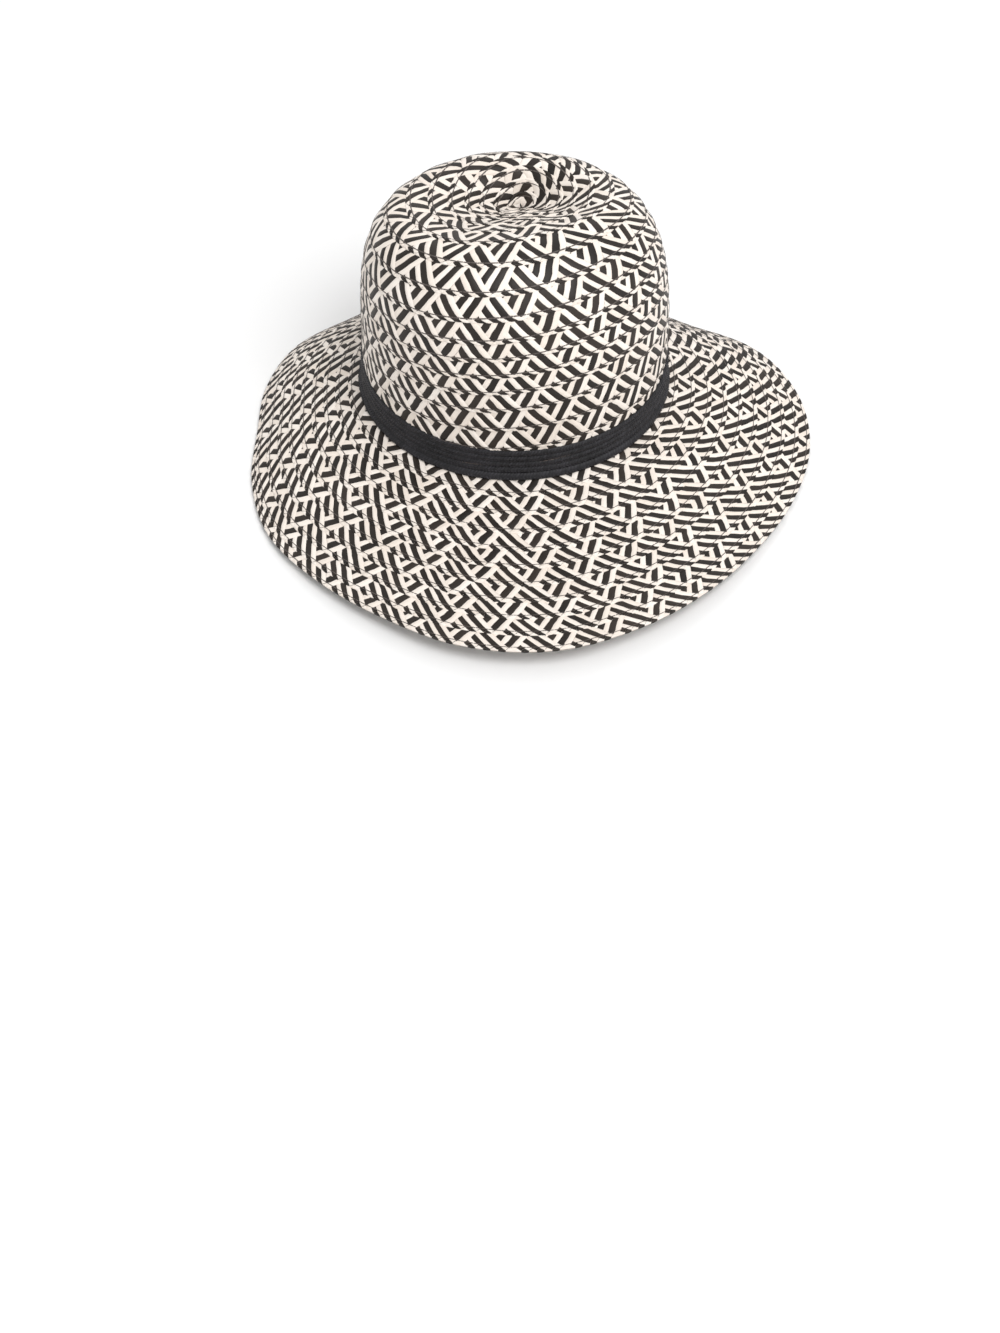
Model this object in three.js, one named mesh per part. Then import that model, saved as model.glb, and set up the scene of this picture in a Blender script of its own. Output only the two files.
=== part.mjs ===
// Straw sun hat sewn from flat two-tone braid: a round crown with a dished tip, a drooping brim
// that is wide in front, and a black band of narrow braid round the foot of the crown.
// Millimetres, +Z up, the front of the hat towards -Y, the brim resting on z = 0.
import * as THREE from "three";

// Place of the crown's axis, so that the whole hat is centred on the origin.
const CROWN_X = -8.3;
const CROWN_Y = 42.5;

// Foot of the crown: half-axes of the outer oval, and its height above the surface.
const OVAL_X = 93.5;
const OVAL_Y = 89.5;
const FOOT_Z = 36;

// Straw.
const WALL = 2;
const GAP = 0.3;
const ROW_STEP = 0.8;
const SEGMENTS = 60;

// Crown: rows of braid from the foot to the centre of the tip. The lowest rows are plain, behind
// the band. The tip is dished round a centre given from the middle of the foot.
const CROWN_ROWS = 17;
const FIRST_ROW = 3;
const PLAIN_TO = 0.17;
const TIP_FROM = 0.985;
const DISH_X = 7;
const DISH_Y = 38;
const DISH_Z = 103;
const WALL_STEPS = 48;
const INSIDE_STEPS = 15;

// Wall length from the foot to the rim of the tip, how late the wall turns in, and how late the
// dish drops, by side.
const MERIDIAN = {
  front: { length: 167, fullness: 3.35, drop: 1.4 },
  right: { length: 155, fullness: 4.0, drop: 1.15 },
  back: { length: 139.5, fullness: 4.8, drop: 1.9 },
  left: { length: 143.5, fullness: 5.7, drop: 1.5 },
};

// Brim: rows of braid, and the slopes at the band and at the edge, by side, as fall over run.
const BRIM_ROWS = 9;
const UNDERSIDE_STEPS = 9;
const SLOPE = {
  front: { inner: 0.36, outer: 0.02 },
  right: { inner: 0.34, outer: 0.5 },
  back: { inner: 0.7, outer: 1.05 },
  left: { inner: 0.24, outer: 0.82 },
};

// Edge of the brim: it lies on the surface at the sides and the back and lifts in front.
const FRONT_LIFT = 14;
const LIFT_ENDS_DEG = 75;
const EDGE_HEIGHT = 1.8;
const EDGE_FLAT = 2.5;
const EDGE_CHAMFER = 0.4;

// Plan width of the brim beyond the oval, every 15 degrees, from the back round by the left,
// the front and the right.
const BRIM_WIDTHS = [
  { azimuth: -180, width: 39.5 },
  { azimuth: -165, width: 40 },
  { azimuth: -150, width: 42 },
  { azimuth: -135, width: 48 },
  { azimuth: -120, width: 61 },
  { azimuth: -105, width: 66 },
  { azimuth: -90, width: 68.5 },
  { azimuth: -75, width: 80.5 },
  { azimuth: -60, width: 92.5 },
  { azimuth: -45, width: 99 },
  { azimuth: -30, width: 108 },
  { azimuth: -15, width: 120.5 },
  { azimuth: 0, width: 124.5 },
  { azimuth: 15, width: 117 },
  { azimuth: 30, width: 107 },
  { azimuth: 45, width: 99 },
  { azimuth: 60, width: 96 },
  { azimuth: 75, width: 94.5 },
  { azimuth: 90, width: 88.5 },
  { azimuth: 105, width: 75 },
  { azimuth: 120, width: 50.5 },
  { azimuth: 135, width: 40.5 },
  { azimuth: 150, width: 39 },
  { azimuth: 165, width: 39 },
];

// Band: rows of narrow braid.
const BAND_FOOT = 0.5;
const BAND_ROWS = 5;
const BAND_ROW_HEIGHT = 4.4;
const BAND_THICKNESS = 1.2;
const BAND_BULGE = 0.6;
const BAND_FLARE = 2.6;
const FLARED_SHARE = 0.4;

// Colours and roughness.
const STRAW = { colour: 0xf2e9dc, roughness: 0.7 };
const BLACK = { colour: 0x28282e, roughness: 0.6 };

const RAD = Math.PI / 180;

// A value given for front, right, back and left, at azimuth t (0 in front, 90 degrees at right).
function bySide(table, column, t) {
  const { front, right, back, left } = table;
  const f = front[column];
  const r = right[column];
  const b = back[column];
  const l = left[column];
  return (
    (f + b + r + l) / 4 +
    ((f - b) / 2) * Math.cos(t) +
    ((r - l) / 2) * Math.sin(t) +
    ((f + b - r - l) / 4) * Math.cos(2 * t)
  );
}

// Brim width at azimuth t, through the table's rows.
function brimWidth(t) {
  const count = BRIM_WIDTHS.length;
  const step = 360 / count;
  const place = (((t / RAD + 180) % 360) + 360) % 360;
  const i = Math.floor(place / step);
  const u = place / step - i;
  const at = (k) => BRIM_WIDTHS[(k + count) % count].width;
  const [a, b, c, d] = [at(i - 1), at(i), at(i + 1), at(i + 2)];
  return (
    b +
    0.5 * u * (c - a + u * (2 * a - 5 * b + 4 * c - d + u * (3 * (b - c) + d - a)))
  );
}

// Point of the foot oval moved out along its normal.
function oval(t, out, z) {
  const nx = Math.sin(t) / OVAL_X;
  const ny = -Math.cos(t) / OVAL_Y;
  const n = Math.hypot(nx, ny);
  return new THREE.Vector3(
    CROWN_X + OVAL_X * Math.sin(t) + (out * nx) / n,
    CROWN_Y - OVAL_Y * Math.cos(t) + (out * ny) / n,
    z,
  );
}

// Point of the crown's outer surface at v from 0, the foot, to 1, the centre of the tip.
function crownPoint(t, v) {
  const length = bySide(MERIDIAN, "length", t);
  const turn = bySide(MERIDIAN, "fullness", t);
  const rim = wallPoint(t, length, length, turn);
  const centre = new THREE.Vector3(CROWN_X + DISH_X, CROWN_Y + DISH_Y, FOOT_Z + DISH_Z);
  const dish = Math.hypot(rim.x - centre.x, rim.y - centre.y);
  const s = v * (length + dish);
  if (s <= length) return wallPoint(t, s, length, turn);
  const u = (s - length) / dish;
  const ease = Math.pow(u, bySide(MERIDIAN, "drop", t));
  return new THREE.Vector3(
    rim.x + (centre.x - rim.x) * u,
    rim.y + (centre.y - rim.y) * u,
    rim.z + (centre.z - rim.z) * ease,
  );
}

// Point of the crown's wall at distance s from the foot, where the wall leans in ever faster.
function wallPoint(t, s, length, turn) {
  let inset = 0;
  let height = 0;
  for (let i = 0; i < WALL_STEPS; i++) {
    const lean = (Math.PI / 2) * Math.pow((Math.max(s, 0) * (i + 0.5)) / WALL_STEPS / length, turn);
    inset += (Math.sin(lean) * s) / WALL_STEPS;
    height += (Math.cos(lean) * s) / WALL_STEPS;
  }
  return oval(t, -inset, FOOT_Z + height);
}

// Height of the brim's underside edge above the surface.
function edgeLift(t) {
  const turned = Math.abs(Math.atan2(Math.sin(t), Math.cos(t))) / RAD;
  const a = Math.min(turned / LIFT_ENDS_DEG, 1);
  return FRONT_LIFT * (0.5 + 0.5 * Math.cos(Math.PI * a));
}

// Point of the brim's upper surface at u from 0, the band, to 1, the edge.
function brimPoint(t, u) {
  const width = brimWidth(t);
  const top = edgeLift(t) + EDGE_HEIGHT;
  const inner = -bySide(SLOPE, "inner", t) * width;
  const outer = -bySide(SLOPE, "outer", t) * width;
  const z =
    (1 + 2 * u) * (1 - u) * (1 - u) * FOOT_Z +
    u * (1 - u) * (1 - u) * inner +
    u * u * (3 - 2 * u) * top +
    u * u * (u - 1) * outer;
  return oval(t, GAP + (width - GAP) * u, z);
}

// Point raised off a surface by a height along its normal.
function raised(surface, t, v, height) {
  const e = 1e-4;
  const alongT = surface(t + e, v).sub(surface(t - e, v));
  const alongV = surface(t, v + e).sub(surface(t, v - e));
  const normal = alongT.cross(alongV).normalize();
  return surface(t, v).addScaledVector(normal, height);
}

// Point off the crown's outer surface, outwards.
function crownRaised(t, v, height) {
  return raised(crownPoint, t, v, height);
}

// Point off the brim's upper surface, upwards.
function brimRaised(t, u, height) {
  return raised(brimPoint, t, u, -height);
}

// Ring of points round the hat, from a function of azimuth.
function ring(pointAt) {
  const points = [];
  for (let i = 0; i < SEGMENTS; i++) points.push(pointAt((i / SEGMENTS) * 2 * Math.PI));
  return points;
}

// Closed solid through a list of rings. The list closes on itself, or it ends in two poles.
function solidOfRings(rings, firstPole, lastPole) {
  const positions = rings.flat().flatMap((p) => [p.x, p.y, p.z]);
  const index = [];
  const last = firstPole ? rings.length - 1 : rings.length;
  for (let k = 0; k < last; k++) {
    const a = k * SEGMENTS;
    const b = ((k + 1) % rings.length) * SEGMENTS;
    for (let i = 0; i < SEGMENTS; i++) {
      const j = (i + 1) % SEGMENTS;
      index.push(a + i, a + j, b + j);
      index.push(a + i, b + j, b + i);
    }
  }
  if (firstPole) {
    const first = positions.length / 3;
    positions.push(firstPole.x, firstPole.y, firstPole.z);
    positions.push(lastPole.x, lastPole.y, lastPole.z);
    const end = (rings.length - 1) * SEGMENTS;
    for (let i = 0; i < SEGMENTS; i++) {
      const j = (i + 1) % SEGMENTS;
      index.push(first, j, i);
      index.push(first + 1, end + i, end + j);
    }
  }
  const geometry = new THREE.BufferGeometry();
  geometry.setAttribute("position", new THREE.Float32BufferAttribute(positions, 3));
  geometry.setIndex(index);
  geometry.computeVertexNormals();
  return geometry;
}

// Crown: from the inside of the tip down the inner face, round the foot and up the rows outside.
function crownGeometry() {
  const rings = [];
  for (let i = 0; i <= INSIDE_STEPS; i++) {
    const v = TIP_FROM * (1 - i / INSIDE_STEPS);
    rings.push(ring((t) => crownRaised(t, v, -WALL)));
  }
  rings.push(ring((t) => oval(t, -WALL, FOOT_Z - WALL)));
  rings.push(ring((t) => oval(t, 0, FOOT_Z - WALL)));
  rings.push(ring((t) => crownPoint(t, PLAIN_TO)));
  for (let row = FIRST_ROW; row < CROWN_ROWS; row++) {
    const low = row / CROWN_ROWS;
    const end = Math.min((row + 1) / CROWN_ROWS, TIP_FROM);
    rings.push(ring((t) => crownRaised(t, low, ROW_STEP)));
    rings.push(ring((t) => crownRaised(t, end, 0)));
  }
  const centre = crownPoint(0, 1);
  const inside = centre.clone().setZ(centre.z - WALL);
  return solidOfRings(rings, inside, centre);
}

// Brim: from the band out over the rows to the edge, and back along the underside.
function brimGeometry() {
  const rings = [];
  rings.push(ring((t) => brimPoint(t, 0)));
  for (let row = 1; row < BRIM_ROWS; row++) {
    rings.push(ring((t) => brimRaised(t, row / BRIM_ROWS, ROW_STEP)));
    rings.push(ring((t) => brimPoint(t, row / BRIM_ROWS)));
  }
  rings.push(ring((t) => brimPoint(t, 1)));
  rings.push(ring((t) => oval(t, brimWidth(t), edgeLift(t) + EDGE_CHAMFER)));
  rings.push(ring((t) => oval(t, brimWidth(t) - EDGE_CHAMFER, edgeLift(t))));
  rings.push(ring((t) => oval(t, brimWidth(t) - EDGE_FLAT, edgeLift(t))));
  for (let i = UNDERSIDE_STEPS - 1; i >= 1; i--) {
    rings.push(ring((t) => brimRaised(t, i / UNDERSIDE_STEPS, -WALL)));
  }
  rings.push(ring((t) => oval(t, GAP, FOOT_Z - WALL)));
  return solidOfRings(rings.reverse());
}

// How far the band flares out at a share of its height.
function bandFlare(share) {
  const a = Math.max(1 - share / FLARED_SHARE, 0);
  return BAND_FLARE * a * a;
}

// Band: a ring of ribs, one for each row of narrow braid, that flares out onto the brim below.
function bandGeometry() {
  const rings = [];
  const foot = FOOT_Z + BAND_FOOT;
  for (let row = 0; row < BAND_ROWS; row++) {
    const z = foot + row * BAND_ROW_HEIGHT;
    const out = GAP + BAND_THICKNESS;
    const low = bandFlare(row / BAND_ROWS);
    const middle = bandFlare((row + 0.5) / BAND_ROWS);
    rings.push(ring((t) => oval(t, out + low, z)));
    rings.push(ring((t) => oval(t, out + BAND_BULGE + middle, z + BAND_ROW_HEIGHT / 2)));
  }
  const top = foot + BAND_ROWS * BAND_ROW_HEIGHT;
  rings.push(ring((t) => oval(t, GAP + BAND_THICKNESS, top)));
  rings.push(ring((t) => oval(t, GAP, top)));
  rings.push(ring((t) => oval(t, GAP, foot)));
  return solidOfRings(rings);
}

function piece(name, geometry, look) {
  const material = new THREE.MeshStandardMaterial({ color: look.colour, roughness: look.roughness });
  const mesh = new THREE.Mesh(geometry, material);
  mesh.name = name;
  return mesh;
}

const hat = new THREE.Group();
hat.name = "straw_hat";
hat.add(piece("crown", crownGeometry(), STRAW));
hat.add(piece("brim", brimGeometry(), STRAW));
hat.add(piece("hat_band", bandGeometry(), BLACK));

export default hat;
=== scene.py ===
import math

import bpy
import numpy as np
from mathutils import Matrix, Vector


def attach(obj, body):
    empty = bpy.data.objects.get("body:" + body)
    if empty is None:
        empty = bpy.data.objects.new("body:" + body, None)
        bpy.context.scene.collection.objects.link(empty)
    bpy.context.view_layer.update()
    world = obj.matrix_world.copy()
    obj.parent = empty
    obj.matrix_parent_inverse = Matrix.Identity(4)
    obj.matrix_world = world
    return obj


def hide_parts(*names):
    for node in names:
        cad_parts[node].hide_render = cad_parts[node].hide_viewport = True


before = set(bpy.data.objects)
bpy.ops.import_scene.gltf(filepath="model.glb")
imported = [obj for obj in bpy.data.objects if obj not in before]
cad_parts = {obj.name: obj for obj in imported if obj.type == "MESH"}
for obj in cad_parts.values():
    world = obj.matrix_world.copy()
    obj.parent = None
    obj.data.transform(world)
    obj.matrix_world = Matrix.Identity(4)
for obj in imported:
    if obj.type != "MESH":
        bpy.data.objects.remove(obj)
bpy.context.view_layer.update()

# Lengths are in millimetres until a mesh is made. Azimuth t is 0 in front and grows to the right.
# The braid's own lengths are in strand pitches: x along it and h across it, counted in crossings.
TURN = 2 * math.pi
MM_PER_M = 1000

# Foot of the crown: middle, half-axes of its oval and height, and the gap to the pieces beside it
CROWN_X, CROWN_Y = -8.3, 42.5
OVAL_X, OVAL_Y = 93.5, 89.5
FOOT_Z = 36.0
GAP = 0.3

# Lowest place of the dished tip, from the middle of the foot
DISH = (7.0, 38.0, 103.0)

# Each holds front, right, back and left values: length of the crown's wall, how late the wall turns
# in, how late the tip drops into the dish, and the brim's slope at the crown and at its edge.
WALL_LENGTH = (167, 155, 139.5, 143.5)
FULLNESS = (3.35, 4.0, 4.8, 5.7)
DISH_DROP = (1.4, 1.15, 1.9, 1.5)
SLOPE_INNER = (0.36, 0.34, 0.7, 0.24)
SLOPE_OUTER = (0.02, 0.5, 1.05, 0.82)

# Edge of the brim: its height, and how far it is lifted in front
EDGE_HEIGHT = 1.8
FRONT_LIFT = 14.0
LIFT_ENDS_DEG = 75

# Brim width every 15 degrees from the back, by the left, the front and the right
BRIM_WIDTHS = (39.5, 40, 42, 48, 61, 66, 68.5, 80.5, 92.5, 99, 108, 120.5, 124.5, 117, 107, 99,
               96, 94.5, 88.5, 75, 50.5, 40.5, 39, 39)

# Fineness of the surfaces' tables and of the braid's way over them
AZIMUTHS = 721
CROWN_PLACES = 361
BRIM_PLACES = 181
WALL_STEPS = 2000
STEPS_PER_RADIAN = 100
TINY = 1e-9

# Braid of seven strands: its dark ones, the strand pitch, the crossings across the braid, and how
# far it is skewed for each pitch across
STRANDS = 7
DARK = (1, 3, 5)
PITCH = 4.4
FULL = STRANDS / 2
SKEW, SKEW_MIDDLE = 0.15, 1.5

# Line of stitches from the row's turned edge, the pitches that run in under the next row, and the
# least shown width that a row's lean is worked out with
STITCH_AT = 0.52
TUCK = 0.22
LEAST_COVER = 0.5

# Crossings between the turned edge and the stitches, and the pitches for each one beyond them
CROWN_HEM = (0.82, 1.55)
BRIM_HEM = (0.62, 1.25)

# Heights over the surface: a strand's relief, and the rise of a row's edge over the row below
RELIEF = 0.42
EDGE_RISE = 0.75
OUTER_BASE = 0.1
BEHIND_BAND, BEHIND_BAND_RELIEF = 0.2, 0.1

# Rows of the crown, counted in turns from the foot: how many would fill it, where they begin, the
# turns that are built, the tilt of the rows once and twice a turn, and a slow wave and a lean
CROWN_ROWS, CROWN_START = 18.0, 0.71
CROWN_TURNS = (-1.71, 17.2)
CROWN_TILT = (0.0053, 0.0107)
CROWN_WAVE, WAVE_TOP, WAVE_ROWS = 0.016, 12.8, 9.5
CROWN_LEAN, LEAN_FROM, LEAN_ROWS = 0.022, 1, 9

# Rows of the brim, counted in turns from the crown. Front, right, back and left values: how many
# fill it, and how much farther out than even its middle rows lie.
BRIM_TURNS = 10.5
BRIM_ROWS = (10, 9.6, 9.5, 9.6)
BRIM_FULLER = (0.008, 0.035, 0, 0.013)

# A strand's cross-section. Columns: place in pitches, share of the relief. The dip is the length
# over which a strand goes down at its ends.
DARK_ACROSS = ((-0.6, 0.25), (-0.37, 0.8), (0, 1), (0.37, 0.8), (0.6, 0.25))
LIGHT_ACROSS = ((-0.5, 0), (-0.37, 0.8), (0, 1), (0.37, 0.8), (0.5, 0))
DIP = 0.2

# A strand's turn at the row's edge. Across it: place in pitches, share of the relief. Along it:
# crossings from the edge, share of the width, share of the fall to the row's lower face.
TURN_ACROSS = ((-0.5, 0.0), (-0.25, 0.75), (0.0, 1.0), (0.25, 0.75), (0.5, 0.0))
TURN_ALONG = ((-0.05, 1, 1), (-0.1, 1, 0.5), (0, 1, 0), (0.25, 0.5, 0), (0.5, 0, 0))
TURN_RELIEF = 0.6
TURN_SCALLOP = 0.05
COVERED_FALL = 0.3

# Unevenness. Columns: size, rate along the braid, rate across it, seed.
ALONG_WANDER = (0.11, 1.1, 1.6, 1)
ACROSS_WANDER = (0.09, 1.3, 1.5, 2)
ROW_WANDER = (0.08, 0.25, 0, 7)
HEIGHT_WANDER = (0.25, 0.8, 1.2, 3)
STITCH_WANDER = (0.1, 0.4, 0, 9)
WAVES = 6
CALM_EDGE = 0.5

# Each piece of strand has a code, which picks its tone from a list of random ones.
WAY_CODE, REPEAT_CODE = 8, 31
TONES, TONE_STRIDE, TONE_SEED = 4096, 97, 5

# Stitches: spacing and half length in pitches, half width as a share of the way to the edge, the
# share of the relief that they lie on, their height, and the width of row that shows beyond them.
# Along a stitch: share of its half length, share of its height. Across it: the same.
# The stitches are real, but their dark thread is painted shade of the stitch line.
STITCH_STEP, STITCH_HALF, STITCH_WIDTH = 0.86, 0.41, 0.09
STITCH_BASE, STITCH_TALL, STITCH_CLEAR = 0.95, 0.3, 0.25
STITCH_ALONG = ((-1, -0.1), (-0.85, 0.8), (0, 1.0), (0.85, 0.8), (1, -0.1))
STITCH_ACROSS = ((-1, 0.55), (0, 1.0), (1, 0.55))

# Band: height of its foot, its own height, rows, thickness, ribs and the flare over the brim
BAND_Z, BAND_TALL, BAND_ROWS = 36.5, 22.0, 5
BAND_THICK = 0.6
RIB, RIB_POWER = 1.05, 0.8
FLARE, FLARE_ENDS = 2.6, 0.4
BACKING_SUNK = 0.1
BACKING_AZIMUTHS, BACKING_PLACES = 240, 41
BACKING_UV_SIZE = 40

# Knots of the band's plait, two lines of them to a row. Sideways sizes are shares of a knot's
# length: its width, the lean of a line, its jitter and the shift from row to row.
KNOTS = 300
KNOT_POINTS = 4
KNOT_WIDTH, KNOT_LEAN, KNOT_JITTER, ROW_SHIFT = 0.9, 0.35, 0.1, 0.37
LINE_MARGIN, LINE_FILL = 0.06, 0.88
KNOT_RELIEF, KNOT_SUNK = 0.75, 0.3
BAND_WAVE, BAND_WAVES = 0.2, 3
KNOT_UV_STEP = 1.7
KNOT_SEED = 11

# Straw: share of the folds, of the strand's own tone and of soft blotches in its colour
FOLD_SHARE, TONE_SHARE, BLOTCH_SHARE = 0.55, 0.3, 0.35

# Camera: place in millimetres, angles in degrees, focal length and photo height in pixels
CAMERA_PLACE = (-178.36, -1380.18, 1371.49)
CAMERA_AZIMUTH, CAMERA_ELEVATION, CAMERA_ROLL = -6.5237, 48.3171, 0.5145
FOCAL_PIXELS, PHOTO_PIXELS = 3116.28, 1333
SENSOR = 36

# Studio, in metres. Columns of the lamps: name, place, size, power, aim.
FLOOR_HALF = 6
FLOOR_COLOUR = (0.93, 0.93, 0.93)
WORLD_LIGHT = 0.72
LAMPS = (
    ("key", (0.5, -1.2, 2.4), 1.4, 34, (0, 0, 0.08)),
    ("fill", (1.8, -1.4, 1.4), 2.0, 7, (0, 0, 0.08)),
    ("rim", (0.3, 2.0, 1.8), 1.6, 8, (0, 0, 0.1)),
)


def by_side(values, t):
    """A value at azimuth t from those at the front, the right, the back and the left."""
    front, right, back, left = values
    return (
        (front + right + back + left) / 4 + (front - back) / 2 * np.cos(t)
        + (right - left) / 2 * np.sin(t) + (front + back - right - left) / 4 * np.cos(2 * t)
    )


def oval(t, out, z):
    """Points at a distance out from the oval of the crown's foot."""
    nx, ny = np.sin(t) / OVAL_X, -np.cos(t) / OVAL_Y
    n = np.hypot(nx, ny)
    x = CROWN_X + OVAL_X * np.sin(t) + out * nx / n
    y = CROWN_Y - OVAL_Y * np.cos(t) + out * ny / n
    return np.stack([x, y, z + 0 * x], -1)


def brim_width(t):
    """Brim width on a smooth curve through the widths of the table."""
    widths = np.array(BRIM_WIDTHS, float)
    place = (np.degrees(t) + 180) % 360 / (360 / len(widths))
    i = np.floor(place).astype(int)
    u = place - i
    a, b, c, d = (widths[(i + k) % len(widths)] for k in (-1, 0, 1, 2))
    return b + 0.5 * u * (c - a + u * (2 * a - 5 * b + 4 * c - d + u * (3 * (b - c) + d - a)))


class Surface:
    """A surface over azimuth and v from 0 to 1, kept as a fine table of points and normals."""

    def __init__(self, points, flip):
        self.points = self.evened(points)
        dt = np.roll(self.points[:-1], -1, 0) - np.roll(self.points[:-1], 1, 0)
        dt = np.concatenate([dt, dt[:1]])
        dv = np.gradient(self.points, axis=1)
        normals = np.cross(dt, dv) * (-1 if flip else 1)
        size = np.linalg.norm(normals, axis=-1, keepdims=True)
        self.normals = np.where(size > TINY, normals / np.maximum(size, TINY), [0, 0, 1.0])
        self.length = np.linalg.norm(np.diff(self.points, axis=1), axis=-1).sum(1)

    @staticmethod
    def evened(points):
        """The same lines from v 0 to v 1, with their points at even distances."""
        out = np.empty_like(points)
        even = np.linspace(0, 1, points.shape[1])
        for i, line in enumerate(points):
            way = np.concatenate([[0], np.cumsum(np.linalg.norm(np.diff(line, axis=0), axis=1))])
            for c in range(3):
                out[i, :, c] = np.interp(even, way / way[-1], line[:, c])
        return out

    def rows(self, t):
        """Table row before azimuth t, and how far t lies towards the next one."""
        f = (t % TURN) / TURN * (len(self.points) - 1)
        i = np.minimum(f.astype(int), len(self.points) - 2)
        return i, f - i

    def run(self, t):
        """Length of the surface from v 0 to v 1 at azimuth t."""
        i, f = self.rows(t)
        return self.length[i] * (1 - f) + self.length[i + 1] * f

    def at(self, t, v, height):
        """Points at a height over the surface."""
        i, f = self.rows(t)
        g = np.clip(v, 0, 1) * (self.points.shape[1] - 1)
        j = np.minimum(g.astype(int), self.points.shape[1] - 2)
        g = (g - j)[:, None]
        f = f[:, None]

        def mix(a):
            low = a[i, j] * (1 - g) + a[i, j + 1] * g
            return low * (1 - f) + (a[i + 1, j] * (1 - g) + a[i + 1, j + 1] * g) * f

        n = mix(self.normals)
        n /= np.maximum(np.linalg.norm(n, axis=1, keepdims=True), TINY)
        return mix(self.points) + n * np.asarray(height)[:, None]


def crown_surface():
    """The crown from its foot up the wall, over the rim and down into the dish."""
    t = np.linspace(0, TURN, AZIMUTHS)
    q = (np.arange(WALL_STEPS) + 0.5) / WALL_STEPS
    lean = math.pi / 2 * q[None] ** by_side(FULLNESS, t)[:, None]
    length = by_side(WALL_LENGTH, t)
    zero = np.zeros((len(t), 1))
    insets = np.hstack([zero, np.cumsum(np.sin(lean), 1) / WALL_STEPS]) * length[:, None]
    heights = np.hstack([zero, np.cumsum(np.cos(lean), 1) / WALL_STEPS]) * length[:, None]
    rim = oval(t, -insets[:, -1], FOOT_Z + heights[:, -1])
    centre = np.array([CROWN_X + DISH[0], CROWN_Y + DISH[1], FOOT_Z + DISH[2]])
    dish = np.hypot(rim[:, 0] - centre[0], rim[:, 1] - centre[1])

    s = np.linspace(0, 1, CROWN_PLACES)[None] * (length + dish)[:, None]
    k = np.clip(s / length[:, None], 0, 1) * WALL_STEPS
    j = np.minimum(k.astype(int), WALL_STEPS - 1)
    f = k - j
    row = np.arange(len(t))[:, None]
    inset = insets[row, j] * (1 - f) + insets[row, j + 1] * f
    height = heights[row, j] * (1 - f) + heights[row, j + 1] * f
    wall = oval(t[:, None] + 0 * inset, -inset, FOOT_Z + height)

    u = np.clip((s - length[:, None]) / dish[:, None], 0, 1)[..., None]
    mix = np.concatenate([u, u, u ** by_side(DISH_DROP, t)[:, None, None]], -1)
    top = rim[:, None] + (centre - rim[:, None]) * mix
    return Surface(np.where(s[..., None] <= length[:, None, None], wall, top), False)


def edge_lift(t):
    """Lift of the brim's edge, highest in front and gone at the sides."""
    turned = np.abs(np.degrees(np.arctan2(np.sin(t), np.cos(t))))
    return FRONT_LIFT * (0.5 + 0.5 * np.cos(math.pi * np.minimum(turned / LIFT_ENDS_DEG, 1)))


def brim_surface():
    """The brim from the crown out, a curve with its heights and slopes given at both ends."""
    t = np.linspace(0, TURN, AZIMUTHS)[:, None]
    u = np.linspace(0, 1, BRIM_PLACES)[None]
    width = brim_width(t)
    inner, outer = -by_side(SLOPE_INNER, t) * width, -by_side(SLOPE_OUTER, t) * width
    z = (
        (1 + 2 * u) * (1 - u) ** 2 * FOOT_Z + u * (1 - u) ** 2 * inner
        + u * u * (3 - 2 * u) * (edge_lift(t) + EDGE_HEIGHT) + u * u * (u - 1) * outer
    )
    return Surface(oval(t + 0 * u, GAP + (width - GAP) * u, z), True)


def mesh_object(name, points, quads, uv, tone, material, replaced=()):
    """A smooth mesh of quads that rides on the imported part."""
    mesh = bpy.data.meshes.new(name)
    mesh.vertices.add(len(points))
    mesh.vertices.foreach_set("co", (np.asarray(points) / MM_PER_M).astype(np.float32).ravel())
    mesh.loops.add(quads.size)
    mesh.polygons.add(len(quads))
    mesh.loops.foreach_set("vertex_index", quads.astype(np.int32).ravel())
    mesh.polygons.foreach_set("loop_start", np.arange(0, quads.size, quads.shape[1], dtype=np.int32))
    mesh.update(calc_edges=True)
    mesh.polygons.foreach_set("use_smooth", np.ones(len(quads), bool))
    layer = mesh.uv_layers.new(name="UVMap")
    layer.data.foreach_set("uv", uv[quads.ravel()].astype(np.float32).ravel())
    attribute = mesh.attributes.new("tone", "FLOAT", "POINT")
    attribute.data.foreach_set("value", tone.astype(np.float32))
    mesh.validate()
    obj = bpy.data.objects.new(name, mesh)
    bpy.context.scene.collection.objects.link(obj)
    mesh.materials.append(material)
    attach(obj, "root")
    if replaced:
        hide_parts(*replaced)


def grid_faces(rows, columns, base=0):
    """Quads between the points of a grid that is stored row by row."""
    faces = []
    for r in range(rows - 1):
        for c in range(columns - 1):
            a = base + r * columns + c
            faces.append((a, a + 1, a + columns + 1, a + columns))
    return faces


def many(faces, points, copies):
    """The same faces for each of many copies of some points."""
    return (np.array(faces)[None] + points * np.arange(copies)[:, None, None]).reshape(-1, 4)


def crown_edge(tau):
    """Share of the way up the crown of the braid's lower edge, tau being its azimuth in all."""
    turns = tau / TURN
    tilt = CROWN_TILT[0] * np.sin(tau) + CROWN_TILT[1] * np.sin(2 * tau)
    wave = CROWN_WAVE * np.cos(TURN * (turns - WAVE_TOP) / WAVE_ROWS)
    lean = CROWN_LEAN * np.sin(tau) * np.sin(np.pi * np.clip((turns - LEAN_FROM) / LEAN_ROWS, 0, 1))
    return (turns + CROWN_START) / CROWN_ROWS + tilt + wave * np.clip(turns, 0, 1) + lean


def brim_edge(tau):
    """Share of the way out over the brim of the braid's outer edge."""
    out = np.clip(-tau / TURN / by_side(BRIM_ROWS, tau), 0, 1)
    return out + by_side(BRIM_FULLER, tau) * np.sin(np.pi * out)


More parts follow.
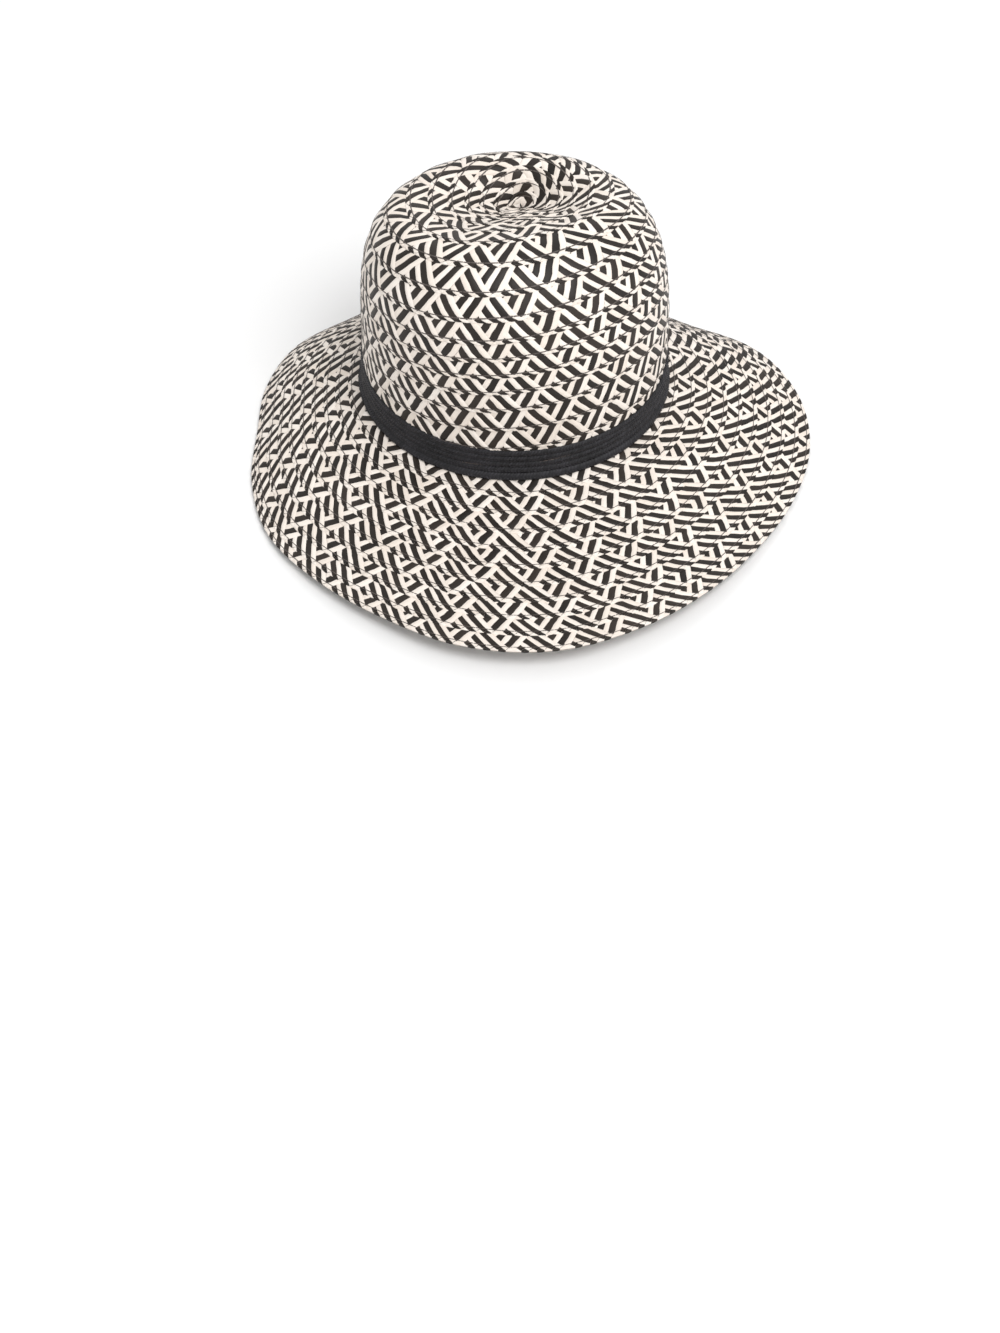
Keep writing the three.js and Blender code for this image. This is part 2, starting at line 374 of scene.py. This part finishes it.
class Braid:
    """The sewn braid's way over a surface. It runs on inwards as tau, its azimuth in all, grows."""

    def __init__(self, surface, edge, inward, first, last, hem, spread):
        self.surface, self.edge_of, self.inward = surface, edge, inward
        self.first, self.last = first, last
        self.hem = hem
        self.width = STITCH_AT + (FULL - hem) * spread
        self.tau = np.linspace(first, last, int((last - first) * STEPS_PER_RADIAN))
        middle = self.edge(self.tau) + self.step(self.tau) * FULL / 2
        points = surface.at(self.tau, middle, 0 * self.tau)
        arc = np.linalg.norm(np.diff(points, axis=0), axis=1) / PITCH
        self.x = np.concatenate([[0], np.cumsum(arc)])

    def edge(self, tau):
        return np.clip(self.edge_of(tau), 0, 1)

    def step(self, tau):
        """Change of v for one strand pitch towards the middle of the crown."""
        return self.inward * PITCH / self.surface.run(tau)

    def cover(self, tau, outside):
        """Strand pitches of this row that show before its neighbour covers it."""
        other = tau + TURN if outside else tau - TURN
        gap = np.abs(self.edge(other) - self.edge(tau)) / np.abs(self.step(tau))
        there = (other < self.last) & (other > self.first)
        return np.where(there, np.minimum(gap, self.width), self.width)

    def spread(self, h):
        """Real distance across the braid, in strand pitches, for h counted in crossings."""
        past = np.minimum(h, 0) + np.maximum(h - FULL, 0)
        return np.interp(h, (0, self.hem, FULL), (0, STITCH_AT, self.width)) + past

    def place(self, x, h, outside):
        """Azimuth and share of the surface for places in the braid, how far the row leans over the
        next one there, and whether that one hides it."""
        real = self.spread(h)
        tau = np.interp(x - SKEW * (real - SKEW_MIDDLE), self.x, self.tau)
        from_open = real if outside else self.width - real
        cover = self.cover(tau, outside)
        shown = np.minimum(from_open, cover + TUCK)
        across = shown if outside else self.width - shown
        lean = 1 - np.clip(shown / np.maximum(cover, LEAST_COVER), 0, 1)
        v = self.edge(tau) + self.step(tau) * across
        return tau, v, lean, from_open > cover + TUCK


def floats(outside, dark):
    """Stretches of strand that lie on top: way, strand, first and last crossing."""
    found = []
    top = STRANDS - 1
    for k in range(STRANDS):
        if (k in DARK) != dark:
            continue
        back, forth = ((1, k), (STRANDS - k, top)) if outside else ((k + 1, top), (1, top - k))
        for way, (first, last) in ((0, back), (1, forth)):
            if last >= first:
                found.append((way, k, first, last))
    return found


def float_rows(outside, across, way, k, first, last):
    """Points of one stretch of strand, which dips under its neighbours at both ends."""
    inner = [m + 0.5 for m in range(first, last)]
    along = [first - 0.5, first - 0.5 + DIP, *inner, last + 0.5 - DIP, last + 0.5]
    rise = [0.0] + [1.0] * (len(along) - 2) + [0.0]
    if outside and not way and first == 1:
        rise[0] = 1.0
    rows = []
    for b, up in zip(along, rise):
        row = []
        for a, side in across:
            plus, minus = (k + b, k + a) if way else (k + STRANDS + a, k + STRANDS - b)
            x, h = (plus + minus) / 2, (plus - minus) / 2
            row.append((x, h, side * up, 0, a, b, k + WAY_CODE * way))
        rows.append(row)
    return rows


def turn_rows(outside, k, low):
    """Points of a strand's turn at the braid's lower or upper edge."""
    rows = []
    for g, narrow, fall in TURN_ALONG:
        if low != outside:
            fall = min(fall, COVERED_FALL)
        row = []
        for a, side in TURN_ACROSS:
            scallop = -TURN_SCALLOP * side if g <= 0 else 0.0
            x = k + a * narrow if low else k + FULL - a * narrow
            h = g + scallop if low else FULL - g - scallop
            up = side * (TURN_RELIEF if g <= 0 else 1.0) * (1 if narrow else 0)
            row.append((x, h, up, fall, a, g, k))
        rows.append(row)
    return rows


def repeat(outside, dark):
    """One repeat of the braid: points of (x, h, rise, fall, u, v, code) and the faces between them."""
    across = DARK_ACROSS if dark else LIGHT_ACROSS
    if not outside:
        across = across[::2]
    sheets = [float_rows(outside, across, *stretch) for stretch in floats(outside, dark)]
    for k in range(STRANDS):
        if (k in DARK) == dark:
            sheets += [turn_rows(outside, k, low) for low in (True, False)]
    points, faces = [], []
    for rows in sheets:
        faces += grid_faces(len(rows), len(rows[0]), len(points))
        for row in rows:
            points.extend(row)
    return np.array(points, float), faces


def smooth_noise(a, b, seed):
    """Gentle unevenness from -1 to 1, the same for every piece that shares a place."""
    rng = np.random.default_rng(seed)
    out = 0 * a
    for _ in range(WAVES):
        rate_a, rate_b, phase = rng.uniform(0.5, 2.2), rng.uniform(0.5, 2.2), rng.uniform(0, TURN)
        out = out + np.sin(rate_a * a * rng.choice([-1, 1]) + rate_b * b * 2 + phase)
    return out / WAVES


def wander(values, x, h):
    size, along, across, seed = values
    return size * smooth_noise(x * along, h * across, seed)


def braid_mesh(name, braid, outside, dark, base, bottom, material, replaced=()):
    """The dark or the light strands of one face of the straw, as one mesh."""
    points, faces = repeat(outside, dark)
    first, last = math.floor(braid.x[0] / STRANDS) - 1, math.ceil(braid.x[-1] / STRANDS) + 1
    repeats = np.arange(first, last)
    x = (points[None, :, 0] + STRANDS * repeats[:, None]).ravel()
    h, rise, fall, u, v, code = (np.tile(points[:, c], len(repeats)) for c in range(1, 7))
    code = code + REPEAT_CODE * np.repeat(repeats, len(points))
    tones = np.random.default_rng(TONE_SEED).random(TONES)
    tone = tones[(code.astype(int) * TONE_STRIDE) % TONES]

    calm = np.clip(h / CALM_EDGE, 0, 1) * np.clip((FULL - h) / CALM_EDGE, 0, 1)
    x_uneven = x + wander(ALONG_WANDER, x, h) * calm
    h_uneven = h + wander(ACROSS_WANDER, x, h) * calm + wander(ROW_WANDER, x, h)
    tau, share, lean, hidden = braid.place(x_uneven, h_uneven, outside)
    face = base + EDGE_RISE * lean + RELIEF * rise * (1 + wander(HEIGHT_WANDER, x, h))
    height = face * (1 - fall) + bottom * fall
    if braid.inward > 0 and outside:
        behind_band = braid.surface.at(tau, share, 0 * tau)[:, 2] < BAND_Z + BAND_TALL
        capped = np.minimum(height, BEHIND_BAND + BEHIND_BAND_RELIEF * rise)
        height = np.where(behind_band, capped, height)
    spots = braid.surface.at(tau, share, height if outside else -height)

    quads = many(faces, len(points), len(repeats))
    past_end = (x < braid.x[0]) | (x > braid.x[-1])
    quads = quads[~(hidden | past_end)[quads].all(1) & ~past_end[quads].any(1)]
    if not outside:
        quads = quads[:, ::-1]
    used, quads = np.unique(quads, return_inverse=True)
    uv = np.stack([u, v + code], 1)
    mesh_object(name, spots[used], quads.reshape(-1, 4), uv[used], tone[used], material, replaced)


def node(tree, kind, **values):
    """A shader node with values for its inputs or its settings."""
    made = tree.nodes.new(kind)
    for key, value in values.items():
        if key in made.inputs:
            made.inputs[key].default_value = value
        else:
            setattr(made, key, value)
    return made


def added(tree, source, share, rest=None):
    """A share of the source, added to the rest."""
    made = node(tree, "ShaderNodeMath", operation="MULTIPLY_ADD" if rest else "MULTIPLY")
    made.inputs[1].default_value = share
    tree.links.new(source, made.inputs[0])
    if rest:
        tree.links.new(rest, made.inputs[2])
    return made.outputs["Value"]


def coloured(tree, shader, source, low, high):
    """Colours the shader by the source. Each end of the ramp is a position and a colour."""
    ramp = node(tree, "ShaderNodeValToRGB")
    for element, (position, colour) in zip(ramp.color_ramp.elements, (low, high)):
        element.position = position
        element.color = (*colour, 1)
    tree.links.new(source, ramp.inputs["Fac"])
    tree.links.new(ramp.outputs["Color"], shader.inputs["Base Color"])


def new_material(name, roughness):
    material = bpy.data.materials.new(name)
    material.use_nodes = True
    shader = material.node_tree.nodes["Principled BSDF"]
    shader.inputs["Roughness"].default_value = roughness
    return material, material.node_tree, shader


def straw_material(name, light, dark, roughness, sheen):
    """Flat paper straw: fine folds along each strand, a tone of its own, soft blotches."""
    material, tree, shader = new_material(name, roughness)
    shader.inputs["Specular IOR Level"].default_value = 0.35
    shader.inputs["Sheen Weight"].default_value = sheen
    shader.inputs["Sheen Roughness"].default_value = 0.5
    uv = node(tree, "ShaderNodeUVMap", uv_map="UVMap")
    stretch = node(tree, "ShaderNodeMapping", Scale=(9.0, 0.7, 1.0))
    tree.links.new(uv.outputs["UV"], stretch.inputs["Vector"])
    folds = node(tree, "ShaderNodeTexNoise", Scale=2.2, Detail=4.0, Roughness=0.6)
    tree.links.new(stretch.outputs["Vector"], folds.inputs["Vector"])
    place = node(tree, "ShaderNodeTexCoord")
    blotch = node(tree, "ShaderNodeTexNoise", Scale=38.0, Detail=3.0)
    tree.links.new(place.outputs["Object"], blotch.inputs["Vector"])
    tone = node(tree, "ShaderNodeAttribute", attribute_name="tone")
    mixed = added(tree, blotch.outputs["Fac"], BLOTCH_SHARE)
    mixed = added(tree, tone.outputs["Fac"], TONE_SHARE, mixed)
    mixed = added(tree, folds.outputs["Fac"], FOLD_SHARE, mixed)
    coloured(tree, shader, mixed, (0.3, dark), (0.85, light))
    bump = node(tree, "ShaderNodeBump", Strength=0.35, Distance=0.0003)
    tree.links.new(folds.outputs["Fac"], bump.inputs["Height"])
    tree.links.new(bump.outputs["Normal"], shader.inputs["Normal"])
    return material


def painted_shade_thread_material():
    """Stitch thread whose dark colour is painted shade along the stitch line, with fine lighter
    flecks.
    """
    material, tree, shader = new_material("stitch_thread_painted_shade", 0.55)
    place = node(tree, "ShaderNodeTexCoord")
    noise = node(tree, "ShaderNodeTexNoise", Scale=900.0, Detail=2.0)
    tree.links.new(place.outputs["Object"], noise.inputs["Vector"])
    # The dark end is painted shade of the stitch line; the lighter flecks are the thread's own.
    coloured(tree, shader, noise.outputs["Fac"], (0, (0.02, 0.016, 0.014)), (1, (0.16, 0.13, 0.115)))
    return material


def stitches(name, braid, material):
    """A line of small stitches along each row of the outer face, near its turned edge. Their dark
    thread is painted shade along the stitch line.
    """
    middles = np.arange(braid.x[0] + 1, braid.x[-1] - 1, STITCH_STEP)[:, None, None]
    side, up = (np.array(column)[None, :, None] for column in zip(*STITCH_ALONG))
    wide, top = (np.array(column)[None, None, :] for column in zip(*STITCH_ACROSS))
    x = middles + STITCH_HALF * side + 0 * wide
    h = braid.hem * (1 + STITCH_WIDTH * wide + wander(STITCH_WANDER, x, x)) + 0 * x
    x, h, lift = x.ravel(), h.ravel(), (up * top + 0 * x).ravel()
    tau, v, lean, _ = braid.place(x, h, True)
    height = OUTER_BASE + EDGE_RISE * lean + RELIEF * STITCH_BASE + STITCH_TALL * lift
    rows, columns = len(STITCH_ALONG), len(STITCH_ACROSS)
    quads = many(grid_faces(rows, columns), rows * columns, len(middles))
    clear = braid.cover(tau, True) > STITCH_AT + STITCH_CLEAR
    quads = quads[clear[quads].all(1)]
    spots = braid.surface.at(tau, v, height)
    mesh_object(name, spots, quads, np.stack([x, h], 1), 0 * x, material)


def band_profile(share):
    """How far the band stands off the crown at a share of its height."""
    flare = FLARE * np.maximum(1 - share / FLARE_ENDS, 0) ** 2
    rib = np.abs(np.sin(math.pi * share * BAND_ROWS)) ** RIB_POWER
    return GAP + BAND_THICK + flare + RIB * rib


def band_backing(name, material):
    """The closed face behind the knots of the band."""
    t = np.linspace(0, TURN, BACKING_AZIMUTHS + 1)[:-1, None]
    share = np.linspace(0, 1, BACKING_PLACES)[None]
    face = oval(t + 0 * share, band_profile(share) - BACKING_SUNK + 0 * t, BAND_Z + BAND_TALL * share)
    ends = np.array([[1.0, 0.0]])
    back = oval(t + 0 * ends, GAP, BAND_Z + BAND_TALL * ends)
    loop = np.concatenate([face, back], 1)
    nt, nv = loop.shape[:2]
    i, j = np.meshgrid(np.arange(nt), np.arange(nv), indexing="ij")
    i, j = i.ravel(), j.ravel()
    i_next, j_next = (i + 1) % nt, (j + 1) % nv
    quads = np.stack([i * nv + j, i_next * nv + j, i_next * nv + j_next, i * nv + j_next], 1)
    spots = loop.reshape(-1, 3)
    uv = spots[:, :2] / BACKING_UV_SIZE
    mesh_object(name, spots, quads, uv, np.zeros(len(spots)), material, ("hat_band",))


def band_plait(name, material):
    """Rows of narrow plait round the foot of the crown, each of two lines of leaning knots."""
    a, b = np.meshgrid(np.linspace(-0.5, 0.5, KNOT_POINTS), np.linspace(0, 1, KNOT_POINTS))
    a, b = a.ravel()[None], b.ravel()[None]
    round_a, round_b = 1 - (2 * a) ** 2, 1 - (2 * b - 1) ** 4
    knot = np.arange(KNOTS)[:, None]
    lines = 2 * BAND_ROWS
    rng = np.random.default_rng(KNOT_SEED)
    spots, uv, tone = [], [], []
    for line in range(lines):
        lean = KNOT_LEAN if line % 2 else -KNOT_LEAN
        jitter = rng.uniform(-KNOT_JITTER, KNOT_JITTER, (KNOTS, 1))
        place = knot + a * KNOT_WIDTH + lean * (2 * b - 1) + jitter + ROW_SHIFT * (line // 2)
        t = TURN * place / KNOTS
        share = (line + LINE_MARGIN + LINE_FILL * b) / lines + 0 * t
        plump = (0.4 + 0.6 * round_b) * (0.6 + 0.6 * rng.random((KNOTS, 1)))
        out = band_profile(share) + KNOT_RELIEF * round_a * plump - KNOT_SUNK
        z = BAND_Z + BAND_TALL * share + BAND_WAVE * np.sin(BAND_WAVES * t + line)
        spots.append(oval(t, out, z).reshape(-1, 3))
        uv.append(np.stack([a + 0 * t, b + knot * KNOT_UV_STEP], -1).reshape(-1, 2))
        tone.append((rng.random((KNOTS, 1)) + 0 * t).ravel())
    quads = many(grid_faces(KNOT_POINTS, KNOT_POINTS), KNOT_POINTS ** 2, KNOTS * lines)
    spots, uv, tone = np.concatenate(spots), np.concatenate(uv), np.concatenate(tone)
    mesh_object(name, spots, quads, uv, tone, material, ("hat_band",))


def look_at_frame():
    """Camera at the photograph's angle."""
    azimuth, elevation, roll = map(math.radians, (CAMERA_AZIMUTH, CAMERA_ELEVATION, CAMERA_ROLL))
    level = math.cos(elevation)
    back = np.array([math.sin(azimuth) * level, -math.cos(azimuth) * level, math.sin(elevation)])
    right = np.array([math.cos(azimuth), math.sin(azimuth), 0])
    up = np.cross(back, right)
    pose = np.eye(4)
    pose[:3, 0] = math.cos(roll) * right + math.sin(roll) * up
    pose[:3, 1] = -math.sin(roll) * right + math.cos(roll) * up
    pose[:3, 2] = back
    pose[:3, 3] = np.array(CAMERA_PLACE) / MM_PER_M
    data = bpy.data.cameras.new("camera")
    data.lens = FOCAL_PIXELS / PHOTO_PIXELS * SENSOR
    data.sensor_width = SENSOR
    data.clip_start, data.clip_end = 0.05, 50
    camera = bpy.data.objects.new("camera", data)
    camera.matrix_world = Matrix(pose.tolist())
    bpy.context.scene.collection.objects.link(camera)
    bpy.context.scene.camera = camera


def pale_floor():
    """A wide pale floor under the hat."""
    near, far = -FLOOR_HALF, FLOOR_HALF
    corners = ((near, near, 0), (far, near, 0), (far, far, 0), (near, far, 0))
    mesh = bpy.data.meshes.new("floor")
    mesh.from_pydata(corners, [], [(0, 1, 2, 3)])
    floor = bpy.data.objects.new("floor", mesh)
    bpy.context.scene.collection.objects.link(floor)
    material, _, shader = new_material("floor", 0.9)
    shader.inputs["Base Color"].default_value = (*FLOOR_COLOUR, 1)
    mesh.materials.append(material)


def studio_light():
    """A bright even world and three soft lamps."""
    world = bpy.data.worlds.new("world")
    bpy.context.scene.world = world
    world.use_nodes = True
    background = world.node_tree.nodes["Background"]
    background.inputs["Color"].default_value = (1, 1, 1, 1)
    background.inputs["Strength"].default_value = WORLD_LIGHT
    bpy.context.scene.view_settings.view_transform = "Standard"
    for name, place, size, power, aim in LAMPS:
        data = bpy.data.lights.new(name, "AREA")
        data.shape, data.size, data.energy = "DISK", size, power
        lamp = bpy.data.objects.new(name, data)
        lamp.location = place
        lamp.rotation_euler = (Vector(place) - Vector(aim)).to_track_quat("Z", "Y").to_euler()
        bpy.context.scene.collection.objects.link(lamp)


# Colours of each straw, light and dark, then its roughness and sheen
cream = straw_material("cream_straw", (0.95, 0.885, 0.82), (0.80, 0.70, 0.61), 0.5, 0.1)
dark = straw_material("dark_straw", (0.034, 0.024, 0.018), (0.005, 0.004, 0.003), 0.5, 0.0)
plait = straw_material("band_straw", (0.030, 0.028, 0.034), (0.001, 0.001, 0.0015), 0.48, 0.0)
# Dark stitch thread: painted shade along the stitch lines
thread = painted_shade_thread_material()

crown_braid = Braid(crown_surface(), crown_edge, 1, *(TURN * end for end in CROWN_TURNS), *CROWN_HEM)
brim_braid = Braid(brim_surface(), brim_edge, -1, -TURN * BRIM_TURNS, 0, *BRIM_HEM)

# Columns: name, braid, outer face or not, height of the straw over the face, height of its turned
# edge, replaced solid.
FACES = (
    ("crown_", crown_braid, True, OUTER_BASE, -0.3, ("crown",)),
    ("crown_inside_", crown_braid, False, 1.1, 0.9, ()),
    ("brim_", brim_braid, True, OUTER_BASE, -0.35, ("brim",)),
    ("brim_under_", brim_braid, False, 0.8, 0.3, ()),
)
for tag, is_dark, look in (("cream", False, cream), ("dark", True, dark)):
    for name, braid, outside, base, bottom, replaced in FACES:
        braid_mesh(name + tag, braid, outside, is_dark, base, bottom, look, replaced)
# Stitches whose dark thread is painted shade along each row's stitch line
stitches("crown_stitches", crown_braid, thread)
stitches("brim_stitches", brim_braid, thread)
band_backing("hat_band_backing", plait)
band_plait("hat_band_plait", plait)

pale_floor()
studio_light()
look_at_frame()
